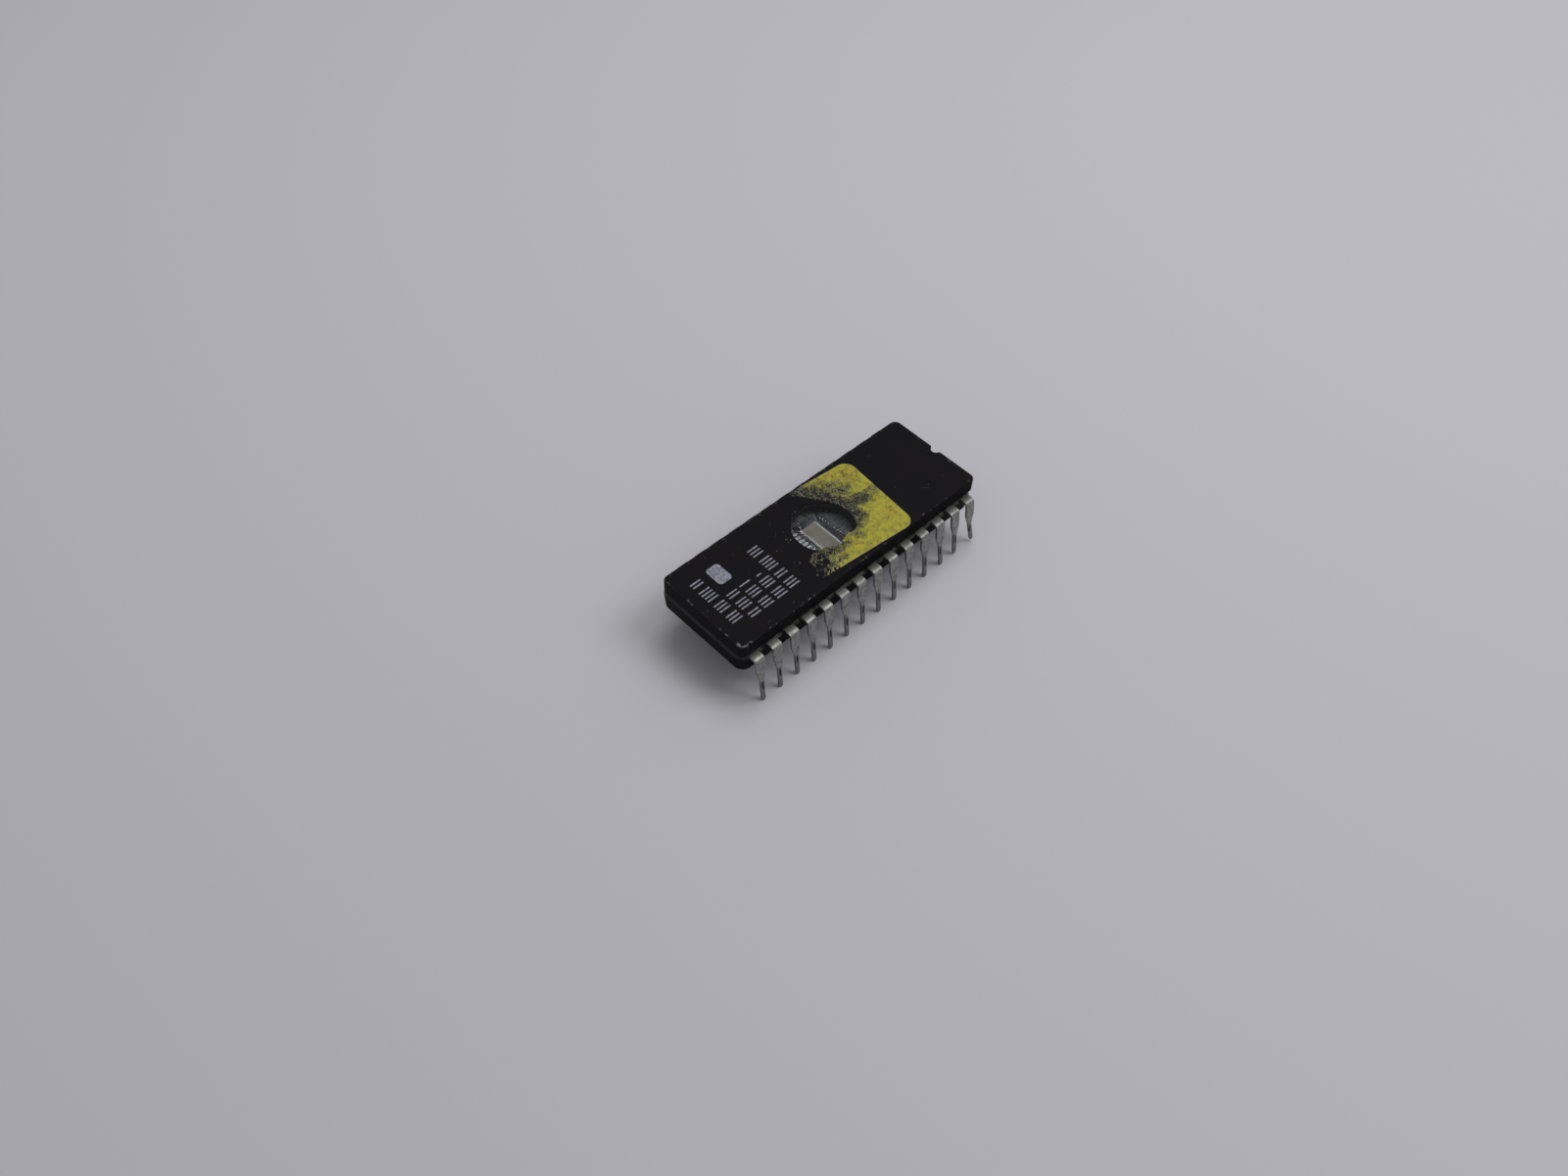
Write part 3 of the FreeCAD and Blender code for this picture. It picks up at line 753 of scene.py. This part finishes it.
def bond_wire_loops():
    points = []
    faces = []
    for toward_x in (1, -1):
        for toward_y in (1, -1):
            for column in range(COLUMNS):
                pad, bond = bond_ends(column)
                ends = [Vector((toward_x * p.x, toward_y * p.y, p.z)) for p in (pad, bond)]
                sweep(wire_route(*ends), points, faces, WIRE_SIDES)
    piece = new_piece("bond_wire_loops", points, faces, wire_finish())
    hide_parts("bond_wires")
    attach(piece, "root")
    return piece


print("wire loops, faces:", len(bond_wire_loops().data.polygons))

# %% [markdown]
# The window is a disc of clear glass fused into the lid, so its rim has no gap. A disc
# exactly as wide as its hole would share a surface with the ceramic and flicker, so this
# one is a hair wider and its side lies inside the ceramic. The two faces carry the faint
# waviness of melted glass and a little haze from handling. It bends light less than real
# glass does, because the photograph shows hardly any of the room mirrored in it.

# %% Window lens
LENS_OVERLAP = 0.015
LENS_SIDES = 96
LENS_RINGS = 10
LENS_CLEAR = (0.965, 0.975, 0.985, 1)
LENS_IOR = 1.3


def lens_finish():
    material, net, surface = shader("window_glass")
    haze = rise(net, mottle(net, places(net), 0.8, 4.0), 0.5, 0.75, 0.0, 0.04)
    bumps = relief(net, mottle(net, places(net), 2.2, 0.0), 0.008)
    coat(surface, colour=LENS_CLEAR, clear=1.0, bend=LENS_IOR, roughness=haze, bumps=bumps)
    return material


def window_disc():
    """Two flat faces of rings round a middle point, and a wall between their rims."""
    points = []
    for z in (LENS_LOW, LID_TOP):
        points.append((0, 0, z))
        for ring in range(1, LENS_RINGS + 1):
            reach = (LENS_RADIUS + LENS_OVERLAP) * ring / LENS_RINGS
            for side in range(LENS_SIDES):
                turn = 2 * math.pi * side / LENS_SIDES
                points.append((reach * math.cos(turn), reach * math.sin(turn), z))
    upper = len(points) // 2
    rim = upper - LENS_SIDES
    faces = []
    for side in range(LENS_SIDES):
        following = (side + 1) % LENS_SIDES
        for start, facing in ((0, -1), (upper, 1)):
            faces.append((start, start + 1 + side, start + 1 + following)[::facing])
            for inner in range(start + 1, start + rim, LENS_SIDES):
                outer = inner + LENS_SIDES
                panel = (inner + side, outer + side, outer + following, inner + following)
                faces.append(panel[::facing])
        a, b = rim + side, rim + following
        faces.append((a, b, b + upper, a + upper))
    piece = new_piece("fused_lens", points, faces, lens_finish(), smooth=False)
    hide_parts("window_lens")
    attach(piece, "root")
    return piece


print("lens, faces:", len(window_disc().data.polygons))

# %% [markdown]
# The label was a yellow sticker with round corners. It was scraped off the window to erase
# the chip, which left a ragged edge, lacy remnants and a felt of loose fibre. An outline
# could be drawn by hand, but lace has far too many edges. So the sheet is cut from a field:
# a number at each point of a fine grid that is positive where paper is left. The field
# joins the sticker as it was cut, the torn line, noise near the tear, holes and crumbs.

# %% The sticker's field
LABEL_TURN = math.radians(-5.0)
LABEL_RIGHT = 8.69
LABEL_HIGH = 6.09
LABEL_LOW = -5.67
LABEL_CORNER = 1.4
TORN_LINE = [
    (-5.0, -9.0), (-5.1, -5.1), (-5.35, -4.6), (-4.95, -4.1), (-4.85, -3.4), (-4.7, -2.65),
    (-4.0, -2.3), (-3.3, -2.18), (-2.55, -2.2), (-1.7, -2.2), (-1.4, -2.75), (-0.95, -3.05),
    (-0.3, -3.08), (0.15, -2.72), (0.8, -2.52), (1.8, -2.7), (2.55, -2.6), (3.3, -2.1),
    (3.6, -1.2), (3.82, -0.5), (3.68, 0.4), (3.48, 1.3), (3.1, 2.2), (2.65, 2.85),
    (2.2, 3.5), (1.75, 4.4), (1.2, 5.05), (0.75, 5.55), (0.95, 9.0),
]
FAR_CORNERS = [(14.0, 9.0), (14.0, -9.0)]
HOLES = [(-3.3, -3.85, 0.42, 0.46), (5.2, 2.68, 0.26, 0.1), (-4.4, -3.95, 0.3, 0.22),
         (-2.1, -3.2, 0.2, 0.14), (3.95, -0.34, 0.09, 0.12), (3.9, -1.07, 0.12, 0.09)]
CRUMBS = [(-4.3, 1.32, 0.13), (-4.02, 0.98, 0.1), (-4.45, 0.82, 0.08), (-4.12, 1.55, 0.06),
          (-6.2, 0.8, 0.08), (-5.55, -2.05, 0.11), (-5.75, -2.2, 0.06), (-6.72, -3.2, 0.11),
          (-6.5, -3.38, 0.06), (-3.78, 2.25, 0.06), (-1.62, 3.12, 0.09), (-1.25, 3.55, 0.08),
          (-0.78, 3.62, 0.1), (-0.45, 3.38, 0.08)]


def lattice_noise(x, y, size, seed):
    """Smooth noise from -1 to 1 with patches of about size, the same at every run."""
    table = np.random.default_rng(seed).uniform(-1, 1, (256, 256))
    u = x / size + 100.0
    v = y / size + 100.0
    i = np.floor(u).astype(int)
    j = np.floor(v).astype(int)
    fu = u - i
    fv = v - j
    su = fu * fu * (3 - 2 * fu)
    sv = fv * fv * (3 - 2 * fv)

    def corner(di, dj):
        return table[(i + di) % 256, (j + dj) % 256]

    low = corner(0, 0) * (1 - su) + corner(1, 0) * su
    high = corner(0, 1) * (1 - su) + corner(1, 1) * su
    return low * (1 - sv) + high * sv


def octaves(x, y, size, seed, count, fade=0.6):
    """A sum of noises, each with half the patch size of the one before, and fainter."""
    total = np.zeros_like(x)
    weight = 1.0
    for index in range(count):
        total += weight * lattice_noise(x, y, size / 2 ** index, seed + index)
        weight *= fade
    return total


def off_line(x, y, start, end):
    """The distance of points from the straight line between two places."""
    (ax, ay), (bx, by) = start, end
    square = (bx - ax) ** 2 + (by - ay) ** 2
    share = np.clip(((x - ax) * (bx - ax) + (y - ay) * (by - ay)) / square, 0, 1)
    return np.hypot(x - ax - share * (bx - ax), y - ay - share * (by - ay))


def sticker_inside(x, y):
    """How far a point lies inside the sticker as it was cut."""
    u = x * math.cos(LABEL_TURN) + y * math.sin(LABEL_TURN)
    v = -x * math.sin(LABEL_TURN) + y * math.cos(LABEL_TURN)
    middle = (LABEL_HIGH + LABEL_LOW) / 2
    over_u = u - (LABEL_RIGHT - LABEL_CORNER)
    over_v = np.abs(v - middle) - ((LABEL_HIGH - LABEL_LOW) / 2 - LABEL_CORNER)
    outside = np.hypot(np.maximum(over_u, 0), np.maximum(over_v, 0))
    return LABEL_CORNER - outside - np.minimum(np.maximum(over_u, over_v), 0)


def torn_inside(x, y):
    """Signed distance from the torn line, positive on the side where paper is left."""
    nearest = off_line(x, y, *TORN_LINE[:2])
    for start, end in zip(TORN_LINE[1:-1], TORN_LINE[2:]):
        nearest = np.minimum(nearest, off_line(x, y, start, end))
    ring = TORN_LINE + FAR_CORNERS
    crossings = np.zeros(x.shape, bool)
    for (ax, ay), (bx, by) in zip(ring, ring[1:] + ring[:1]):
        if ay != by:
            spans = (ay > y) != (by > y)
            crossings ^= spans & (x < (bx - ax) * (y - ay) / (by - ay) + ax)
    return np.where(crossings, nearest, -nearest)


def lace(x, y):
    """How lacy the paper is: strong in the lower left corner and along the tear."""
    corner = np.clip(1.75 - np.hypot(x + 4.5, (y + 3.6) * 0.9) / 2.0, 0, 1.1)
    top = np.clip(1.1 - np.hypot(x - 1.2, y - 4.9) / 1.4, 0, 1)
    return np.maximum(corner, 0.8 * top)


def paper_left(x, y):
    """Positive where paper is left on the chip."""
    sticker = sticker_inside(x, y)
    torn = torn_inside(x, y)
    near = np.exp(-np.abs(torn) / 0.9)
    ragged = torn + near * (0.15 * octaves(x, y, 0.5, 11, 3, 0.95) - 0.02)
    lacy = lace(x, y)
    web = octaves((x + y) * 0.55, (x - y) * 1.05, 0.4, 31, 3, 0.9)
    ragged = np.where(lacy > 0, np.minimum(ragged, 0.12 * (1.5 - 1.35 * lacy - web)), ragged)
    for hx, hy, long, wide in HOLES:
        hole = np.hypot((x - hx) / long, (y - hy) / wide) - 1 + 0.25 * octaves(x, y, 0.3, 51, 2)
        ragged = np.minimum(ragged, hole * wide)
    for cx, cy, size in CRUMBS:
        crumb = size * (1 + 0.55 * octaves(x, y, 0.16, 71, 2)) - np.hypot(x - cx, y - cy)
        ragged = np.maximum(ragged, crumb)
        sticker = np.where(crumb > 0, 1.0, sticker)
    return np.minimum(sticker, ragged)


print("paper at the lid's middle:", round(float(paper_left(np.array([0.0]), np.array([0.0]))[0]), 2), "mm")

# %% [markdown]
# A second field says how badly the paper is scraped: most along the tear and across the
# middle of the label. It could be painted on, but strokes with a reach and a strength are
# easy to read and to move. It thins the sheet, and it hands its value to the finish, which
# greys the yellow and lets black specks through.

# %% The sticker's wear
SCRAPES = [
    ((0.9, 5.9), (2.6, 4.6), 1.1, 1.0), ((1.6, 5.0), (3.4, 3.0), 1.0, 0.92),
    ((3.0, 3.2), (4.1, 1.0), 1.0, 0.88), ((3.9, 1.6), (4.1, -1.4), 0.95, 0.92),
    ((3.6, 4.6), (5.4, 2.6), 1.4, 0.55), ((4.4, 0.6), (6.6, 0.1), 1.05, 0.78),
    ((6.4, 0.2), (8.6, 0.4), 0.8, 0.5), ((4.0, -1.6), (2.0, -3.2), 0.9, 0.55),
    ((-5.6, -4.7), (-3.2, -2.8), 1.3, 1.0), ((-3.2, -2.7), (-1.2, -3.2), 0.9, 0.85),
    ((-1.6, -3.6), (0.6, -3.4), 0.7, 0.5), ((-3.6, -4.8), (-1.6, -4.5), 0.8, 0.45),
    ((6.2, 4.6), (7.6, 3.4), 1.3, 0.22),
]


def wear_field(x, y):
    """From 0 on clean paper to 1 where it is scraped to a felt."""
    wear = np.zeros_like(x)
    for start, end, reach, strength in SCRAPES:
        wear = np.maximum(wear, strength * np.exp(-(off_line(x, y, start, end) / reach) ** 2))
    wear = np.clip(0.06 + wear + 0.18 * octaves(x, y, 1.1, 91, 3) * (0.3 + wear), 0, 1)
    for cx, cy, size in CRUMBS:
        wear = np.where(np.hypot(x - cx, y - cy) < 2 * size, 1.0, wear)
    return wear


worst_x, worst_y = np.transpose([scrape[0] for scrape in SCRAPES])
print("mean wear where the scrapes start:", round(float(wear_field(worst_x, worst_y).mean()), 2))

# %% [markdown]
# The grid is walked cell by cell. Where the field changes sign between two corners, a
# point is set where it passes zero, so the outline is smooth at a size well under a cell,
# and whole cells would need a far finer grid. The sheet gets a top that follows the wear, a
# bottom on the lid, and walls between.

# %% Cut the sheet
GRID_STEP = 0.07
LABEL_SPAN = ((-7.2, 10.0), (-7.2, 6.9))
LEAST_SHARE = 0.04
PAPER_LEAST = 0.012
PAPER_LOST = 0.72
EDGE_TAPER = 0.12
EDGE_LEFT = 0.55
FIBRE_RELIEF = 0.01
FIBRE_SIZE = 0.3


def cut_cells(xs, ys, field):
    """Points and faces of the part of the grid where the field is positive."""
    points = []
    known = {}
    faces = []

    def point(key, x, y):
        if key not in known:
            known[key] = len(points)
            points.append((x, y))
        return known[key]

    inside = field > 0
    for i in range(len(xs) - 1):
        for j in range(len(ys) - 1):
            corners = ((i, j), (i + 1, j), (i + 1, j + 1), (i, j + 1))
            loop = []
            for here, following in zip(corners, corners[1:] + corners[:1]):
                if inside[here]:
                    loop.append(point(here, xs[here[0]], ys[here[1]]))
                if inside[here] != inside[following]:
                    a, b = min(here, following), max(here, following)
                    share = field[a] / (field[a] - field[b])
                    share = min(max(share, LEAST_SHARE), 1 - LEAST_SHARE)
                    x = xs[a[0]] + share * (xs[b[0]] - xs[a[0]])
                    y = ys[a[1]] + share * (ys[b[1]] - ys[a[1]])
                    loop.append(point((a, b), x, y))
            if loop:
                faces.append(tuple(loop))
    return points, faces


grid_xs, grid_ys = [np.arange(low, high, GRID_STEP) for low, high in LABEL_SPAN]
paper_grid = paper_left(*np.meshgrid(grid_xs, grid_ys, indexing="ij"))
outline_points, outline_faces = cut_cells(grid_xs, grid_ys, paper_grid)
print("paper left on the lid, in cells of the grid:", len(outline_faces))


def label_sheet(flat_points, top_faces, material):
    """Turns the cut outline into a closed sheet that keeps its wear for the finish."""
    x, y = np.transpose(flat_points)
    wear = wear_field(x, y)
    edge = paper_left(x, y)
    full = LABEL_TOP - LID_TOP
    fibre = FIBRE_RELIEF * (octaves(x, y, FIBRE_SIZE, 111, 3) - 1.2)
    thickness = full * (1 - PAPER_LOST * wear) + fibre * (0.35 + wear)
    thickness *= EDGE_LEFT + (1 - EDGE_LEFT) * np.clip(edge / EDGE_TAPER, 0, 1)
    thickness = np.clip(thickness, PAPER_LEAST, full)
    count = len(flat_points)
    points = [(x, y, LID_TOP + t) for (x, y), t in zip(flat_points, thickness)]
    points += [(x, y, LID_TOP) for x, y in flat_points]
    used = {(a, b): None for face in top_faces for a, b in zip(face, face[1:] + face[:1])}
    walls = [(a, a + count, b + count, b) for a, b in used if (b, a) not in used]
    bottoms = [tuple(index + count for index in reversed(face)) for face in top_faces]
    piece = new_piece("torn_label", points, top_faces + bottoms + walls, material)
    for name, values in (("wear", wear), ("edge", edge)):
        layer = piece.data.attributes.new(name, "FLOAT", "POINT")
        layer.data.foreach_set("value", np.concatenate([values, values]).astype(np.float32))
    return piece


# %% [markdown]
# The paper's face is a matt yellow with faint blotches. Scraped paper is grey and felted,
# dirt shows as short dark flecks that crowd where it is worn, and the torn edge is pale. A
# real felt of strands would need more faces than the whole chip, so noises drawn out in two
# crossing directions stand for the fibres.

# %% Label finish
LABEL_YELLOW = (0.33, 0.298, 0.03, 1)
LABEL_OLIVE = (0.225, 0.212, 0.03, 1)
LABEL_ORANGE = (0.33, 0.245, 0.032, 1)
LABEL_SCRAPED = (0.108, 0.106, 0.046, 1)
LABEL_GREY = (0.09, 0.088, 0.072, 1)
LABEL_BLACK = (0.009, 0.009, 0.007, 1)
LABEL_CORE = (0.3, 0.295, 0.225, 1)
FLECK_LEVEL = 0.64
FLECK_PULL = 0.17
ORANGE_PATCHES = [(7.8, 3.4, 1.5), (7.2, -3.6, 1.3), (6.1, 4.6, 0.9)]
LABEL_SHINE = 0.15
LABEL_RELIEF = 0.03


def attribute(net, name):
    """A value that the mesh keeps at each of its points."""
    return add_node(net, "Attribute", {}, attribute_name=name)["Fac"]


def label_finish():
    material, net, surface = shader("scraped_yellow_paper")
    where = places(net)
    wear = attribute(net, "wear")
    edge = attribute(net, "edge")
    cloud = mottle(net, where, 0.7, 5.0, 0.65)
    fibre = mottle(net, places(net, squeeze=(0.46, 0.17, 1), turn=0.9), 1.0, 3.0, 0.7)
    cross = mottle(net, places(net, squeeze=(0.42, 0.16, 1), turn=-0.5), 1.0, 3.0, 0.7)
    grit = mottle(net, where, 0.24, 3.0, 0.7)
    tone = blend(net, rise(net, cloud, 0.42, 0.62), LABEL_YELLOW, LABEL_OLIVE)
    for x, y, reach in ORANGE_PATCHES:
        away = length(net, places(net, (reach, reach, 100), 0.0, (x, y, 0)))
        tone = blend(net, rise(net, away, 0.3, 1.2, 0.55, 0.0), tone, LABEL_ORANGE)
    patchy = plus(net, wear, swing(net, cloud, 0.9))
    tone = blend(net, rise(net, patchy, 0.1, 0.7), tone, LABEL_SCRAPED)
    tone = blend(net, rise(net, patchy, 0.7, 1.05), tone, LABEL_GREY)
    pull = times(net, patchy, FLECK_PULL)
    for speck in (fibre, cross, grit):
        dark = rise(net, plus(net, speck, pull), FLECK_LEVEL, FLECK_LEVEL + 0.06, 0.0, 0.76)
        tone = blend(net, dark, tone, LABEL_BLACK)
    strands = calc(net, "MINIMUM", fibre, cross)
    pale = plus(net, minus(net, 1.0, strands), times(net, wear, 0.05))
    tone = blend(net, rise(net, pale, 0.64, 0.7, 0.0, 0.55), tone, LABEL_CORE)
    unworn = rise(net, wear, 0.25, 0.7, 0.8, 0.15)
    rim = times(net, rise(net, edge, 0.0, 0.07, 0.75, 0.0), unworn)
    tone = blend(net, rim, tone, LABEL_CORE)
    roughness = rise(net, wear, 0.1, 0.7, 0.6, 0.85)
    bumps = relief(net, plus(net, strands, grit), LABEL_RELIEF)
    coat(surface, colour=tone, roughness=roughness, shine=LABEL_SHINE, bumps=bumps)
    return material


torn_label = label_sheet(outline_points, outline_faces, label_finish())
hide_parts("paper_label")
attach(torn_label, "root")
print("label, faces:", len(torn_label.data.polygons))

# %% [markdown]
# The lid is marked in pale grey ink. The marks are plain ones that spell nothing: columns
# of equal bars with a few gaps, one shorter bar, and a solid field with round corners. They
# could be a pattern in the ceramic's finish, but ink stands a hundredth of a millimetre
# proud and has a clean edge, so each is a thin slip of geometry.

# %% Ink marks
INK_THICKNESS = 0.008
INK_STROKE = 0.18
INK_LONG = 1.5
INK_PITCH = 0.47
INK_COLUMNS = [
    (-15.72, 3.4, "1101111011101110"), (-13.75, -0.15, "110111011"), (-11.88, -0.15, "101110111"),
    (-9.92, -1.1, "1110111"), (-8.0, 2.8, "111011110110111"),
]
INK_DASH = (-9.92, -0.3, 0.7)
FIELD_MIDDLE = (-13.05, 2.62)
FIELD_SIZE = (1.8, 2.6)
FIELD_CORNER = 0.45
ROUND_STEPS = 6
INK_PALE = (0.27, 0.265, 0.325, 1)
INK_WORN = (0.085, 0.085, 0.105, 1)
INK_ROUGHNESS = 0.6


def ink_finish():
    material, net, surface = shader("pale_ink")
    worn = mottle(net, places(net), 0.16, 3.0, 0.7)
    tone = blend(net, rise(net, worn, 0.38, 0.6), INK_PALE, INK_WORN)
    coat(surface, colour=tone, roughness=INK_ROUGHNESS)
    return material


def add_slip(outline, points, faces):
    """Adds a thin upright slip of ink with this outline."""
    first = len(points)
    count = len(outline)
    points.extend((x, y, LID_TOP) for x, y in outline)
    points.extend((x, y, LID_TOP + INK_THICKNESS) for x, y in outline)
    faces.append(tuple(first + index for index in reversed(range(count))))
    faces.append(tuple(first + count + index for index in range(count)))
    for index in range(count):
        a = first + index
        b = first + (index + 1) % count
        faces.append((a, b, b + count, a + count))


def arc(x, y, radius, start, sweep_angle):
    """Points along a part of a circle, from its start angle on."""
    turns = [start + sweep_angle * step / ROUND_STEPS for step in range(ROUND_STEPS + 1)]
    return [(x + radius * math.cos(turn), y + radius * math.sin(turn)) for turn in turns]


def round_bar(middle, y, long):
    """Outline of a bar along X with round ends."""
    radius = INK_STROKE / 2
    half = long / 2 - radius
    right_end = arc(middle + half, y, radius, -math.pi / 2, math.pi)
    return right_end + arc(middle - half, y, radius, math.pi / 2, math.pi)


def round_field(middle, size, radius):
    """Outline of an upright field with round corners."""
    outline = []
    for quarter, (toward_x, toward_y) in enumerate(((1, -1), (1, 1), (-1, 1), (-1, -1))):
        x = middle[0] + toward_x * (size[0] / 2 - radius)
        y = middle[1] + toward_y * (size[1] / 2 - radius)
        outline += arc(x, y, radius, (quarter - 1) * math.pi / 2, math.pi / 2)
    return outline


def ink_marks():
    points = []
    faces = []
    for middle, top, rhythm in INK_COLUMNS:
        for place, inked in enumerate(rhythm):
            if inked == "1":
                add_slip(round_bar(middle, top - place * INK_PITCH, INK_LONG), points, faces)
    add_slip(round_bar(*INK_DASH), points, faces)
    add_slip(round_field(FIELD_MIDDLE, FIELD_SIZE, FIELD_CORNER), points, faces)
    piece = new_piece("ink_marks", points, faces, ink_finish(), smooth=False)
    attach(piece, "root")
    return piece


print("ink marks, faces:", len(ink_marks().data.polygons))

# %% [markdown]
# When the halves were pressed together in the furnace, a few beads of frit were squeezed
# out at one end and sit in the seam. Squashed spheres would look too neat, so the sweep
# that draws the wires makes them too, each with its own swelling girth.

# %% Frit beads
BEADS = [
    (-18.03, -2.1, 6.2, 0.16), (-18.05, -2.55, 6.28, 0.13), (-18.02, -3.35, 6.17, 0.19),
    (-18.0, -3.85, 6.26, 0.15), (-17.98, -4.4, 6.2, 0.2), (-17.93, -4.85, 6.3, 0.12),
]
BEAD_RINGS = 8
BEAD_SIDES = 12
BEAD_STRETCH = 1.3
BEAD_FLATNESS = 0.8
BEAD_WOBBLE = 0.12


def frit_beads():
    points = []
    faces = []
    for index, (x, y, z, radius) in enumerate(BEADS):
        stations = []
        for ring in range(BEAD_RINGS + 1):
            turn = math.pi * ring / BEAD_RINGS
            wobble = 1 + BEAD_WOBBLE * math.sin(3 * turn + index)
            girth = 2 * radius * max(math.sin(turn), 0.05) * wobble
            centre = Vector((x, y - radius * BEAD_STRETCH * math.cos(turn), z))
            stations.append((centre, girth, girth * BEAD_FLATNESS))
        sweep(stations, points, faces, BEAD_SIDES)
    piece = new_piece("frit_beads", points, faces, seal_frit)
    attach(piece, "root")
    return piece


print("beads, faces:", len(frit_beads().data.polygons))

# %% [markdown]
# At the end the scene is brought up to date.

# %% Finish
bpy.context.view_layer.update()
